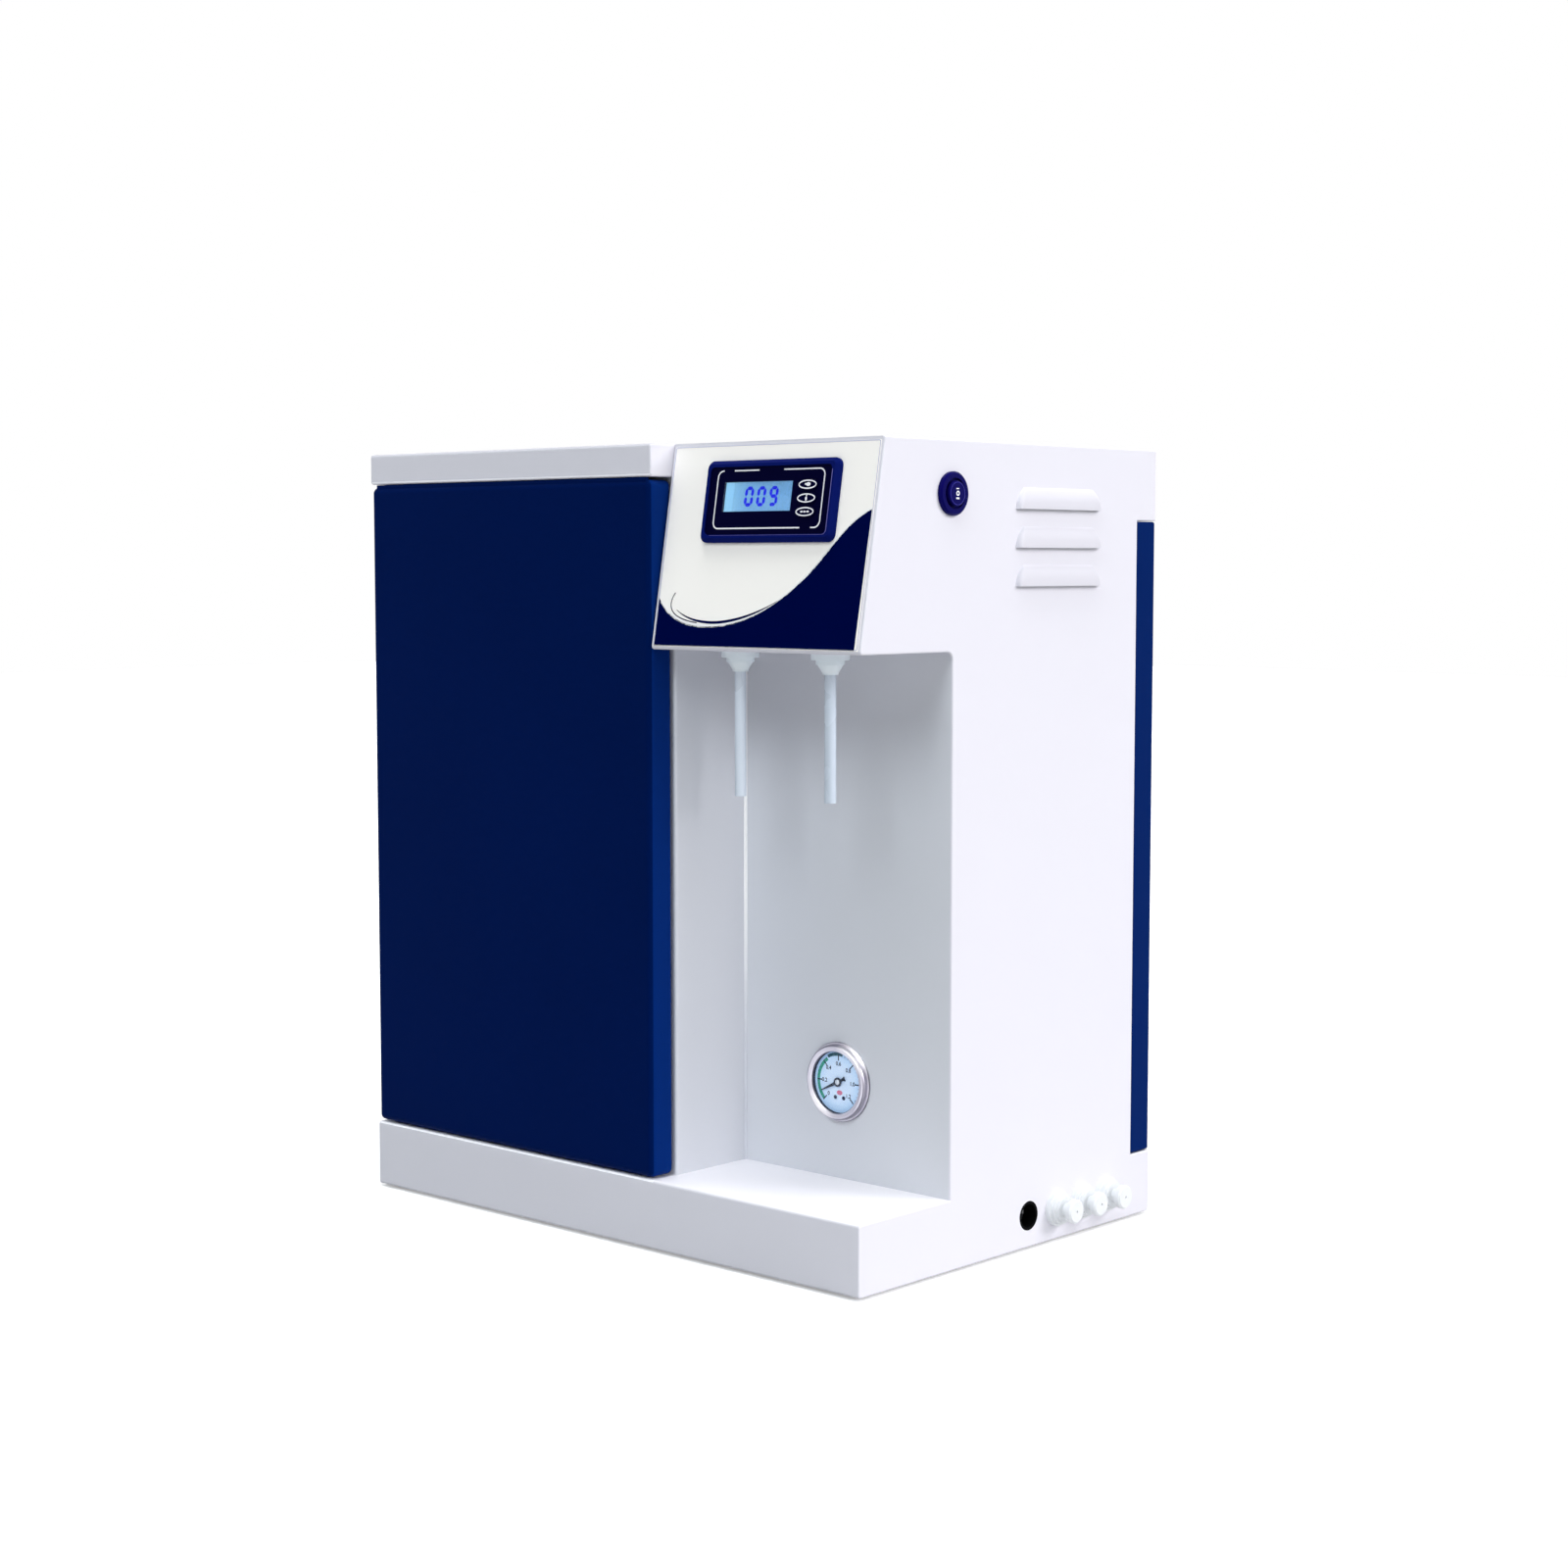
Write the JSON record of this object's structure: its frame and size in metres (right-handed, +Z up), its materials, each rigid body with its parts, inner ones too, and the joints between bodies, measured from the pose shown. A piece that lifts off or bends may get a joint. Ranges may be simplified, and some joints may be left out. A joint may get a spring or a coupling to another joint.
{
  "type": "laboratory water purifier",
  "caption": "Bench water purifier: white steel housing with a blue filter door, a sloping control head over a dispensing niche, a pressure gauge, louvres and side ports.",
  "frame": {"origin": "on the bench, in the middle of the housing's footprint", "axes": "+X to the right seen from the front, +Y to the rear, +Z up"},
  "size_m": [0.4525, 0.2921, 0.5],
  "materials": {
    "white_coated_steel": "fine-grained powder coat, satin",
    "blue_moulding": "deep blue, smooth satin",
    "zinc_sheet": "zinc-plated sheet",
    "printed_overlay": "printed polycarbonate film",
    "bezel_navy": "dark navy, satin",
    "fascia_navy": "dark navy, smooth",
    "clear_pane": "clear",
    "lcd_screen": "backlit",
    "key_navy": "satin",
    "board_green": "circuit board",
    "black_plastic": "fine texture",
    "switch_navy": "satin",
    "black_rubber": "matte",
    "white_plastic": "moulded, satin",
    "frosted_plastic": "translucent, frosted",
    "clear_tube": "clear, smooth",
    "polished_steel": "polished",
    "dial_face": "printed, matte",
    "pointer_black": "matte",
    "brass_works": "machined",
    "filter_white": "moulded",
    "motor_black": "satin",
    "core_steel": "laminated, varnished",
    "tube_blue": "smooth",
    "tube_white": "smooth"
  },
  "bodies": {
    "housing": {"base_pan": "white_coated_steel", "left_side_panel": "white_coated_steel", "right_side_panel": "white_coated_steel", "top_cover": "white_coated_steel", "head_housing": "white_coated_steel", "niche_liner": "white_coated_steel", "rear_bulkhead": "zinc_sheet", "partition_panel": "zinc_sheet", "rear_cover": "blue_moulding", "rear_cover_screws": "polished_steel", "rubber_feet": "black_rubber", "door_hinge_pins": "polished_steel", "door_catch_magnets": "black_plastic", "face_overlay": "printed_overlay", "controller_bezel": "bezel_navy", "controller_fascia": "fascia_navy", "controller_window": "clear_pane", "lcd_module": "lcd_screen", "control_board": "board_green", "controller_case": "black_plastic", "power_switch_body": "switch_navy", "power_switch_nut": "black_plastic", "cable_bushing": "black_rubber", "port_fittings": "white_plastic", "bulkhead_nuts": "white_plastic", "nozzle_collar_left": "frosted_plastic", "nozzle_collar_right": "frosted_plastic", "nozzle_tube_left": "clear_tube", "nozzle_tube_right": "clear_tube", "gauge_case": "polished_steel", "gauge_bezel": "polished_steel", "gauge_lens": "clear_pane", "gauge_dial": "dial_face", "gauge_movement": "brass_works", "gauge_clamp": "zinc_sheet", "filter_manifold": "filter_white", "sediment_filter": "filter_white", "carbon_filter": "filter_white", "fine_filter": "filter_white", "membrane_vessel": "filter_white", "polishing_vessel": "filter_white", "vessel_clips": "white_plastic", "pump_head": "black_plastic", "pump_motor": "motor_black", "transformer": "core_steel", "solenoid_valves": "black_plastic", "conductivity_cell": "white_plastic", "feed_tubes": "tube_blue", "product_tubes": "tube_white"},
    "door": {"front_door": "blue_moulding", "door_backing_plate": "zinc_sheet"},
    "bottom_key": {"key_bottom": "key_navy"},
    "middle_key": {"key_middle": "key_navy"},
    "top_key": {"key_top": "key_navy"},
    "switch_button": {"power_switch_button": "switch_navy"},
    "pointer": {"gauge_pointer": "pointer_black"},
    "inlet_plug": {"plug_inlet_port": "white_plastic"},
    "tank_plug": {"plug_tank_port": "white_plastic"},
    "drain_plug": {"plug_drain_port": "white_plastic"}
  },
  "joints": [
    {"name": "door_hinge", "type": "hinge", "parent": "housing", "child": "door", "pos_m": [-0.2105, -0.1355, 0.262], "axis": [0, 0, -1], "range_deg": [0, 105]},
    {"name": "bottom_key_press", "type": "slide", "parent": "housing", "child": "bottom_key", "axis": [0, 0.9855, -0.1695], "range_m": [0, 0.0007], "stiffness_N_per_m": 1500, "springref_m": -0.0002},
    {"name": "middle_key_press", "type": "slide", "parent": "housing", "child": "middle_key", "axis": [0, 0.9855, -0.1695], "range_m": [0, 0.0007], "stiffness_N_per_m": 1500, "springref_m": -0.0002},
    {"name": "top_key_press", "type": "slide", "parent": "housing", "child": "top_key", "axis": [0, 0.9855, -0.1695], "range_m": [0, 0.0007], "stiffness_N_per_m": 1500, "springref_m": -0.0002},
    {"name": "switch_press", "type": "slide", "parent": "housing", "child": "switch_button", "axis": [-1, 0, 0], "range_m": [0, 0.0025], "stiffness_N_per_m": 900, "springref_m": -0.0005},
    {"name": "pointer_turn", "type": "hinge", "parent": "housing", "child": "pointer", "pos_m": [0.12955, -0.062, 0.1062], "axis": [0, 1, 0], "range_deg": [-19, 251]},
    {"name": "inlet_plug_pull", "type": "slide", "parent": "housing", "child": "inlet_plug", "axis": [1, 0, 0], "range_m": [0, 0.02]},
    {"name": "tank_plug_pull", "type": "slide", "parent": "housing", "child": "tank_plug", "axis": [1, 0, 0], "range_m": [0, 0.02]},
    {"name": "drain_plug_pull", "type": "slide", "parent": "housing", "child": "drain_plug", "axis": [1, 0, 0], "range_m": [0, 0.02]}
  ]
}
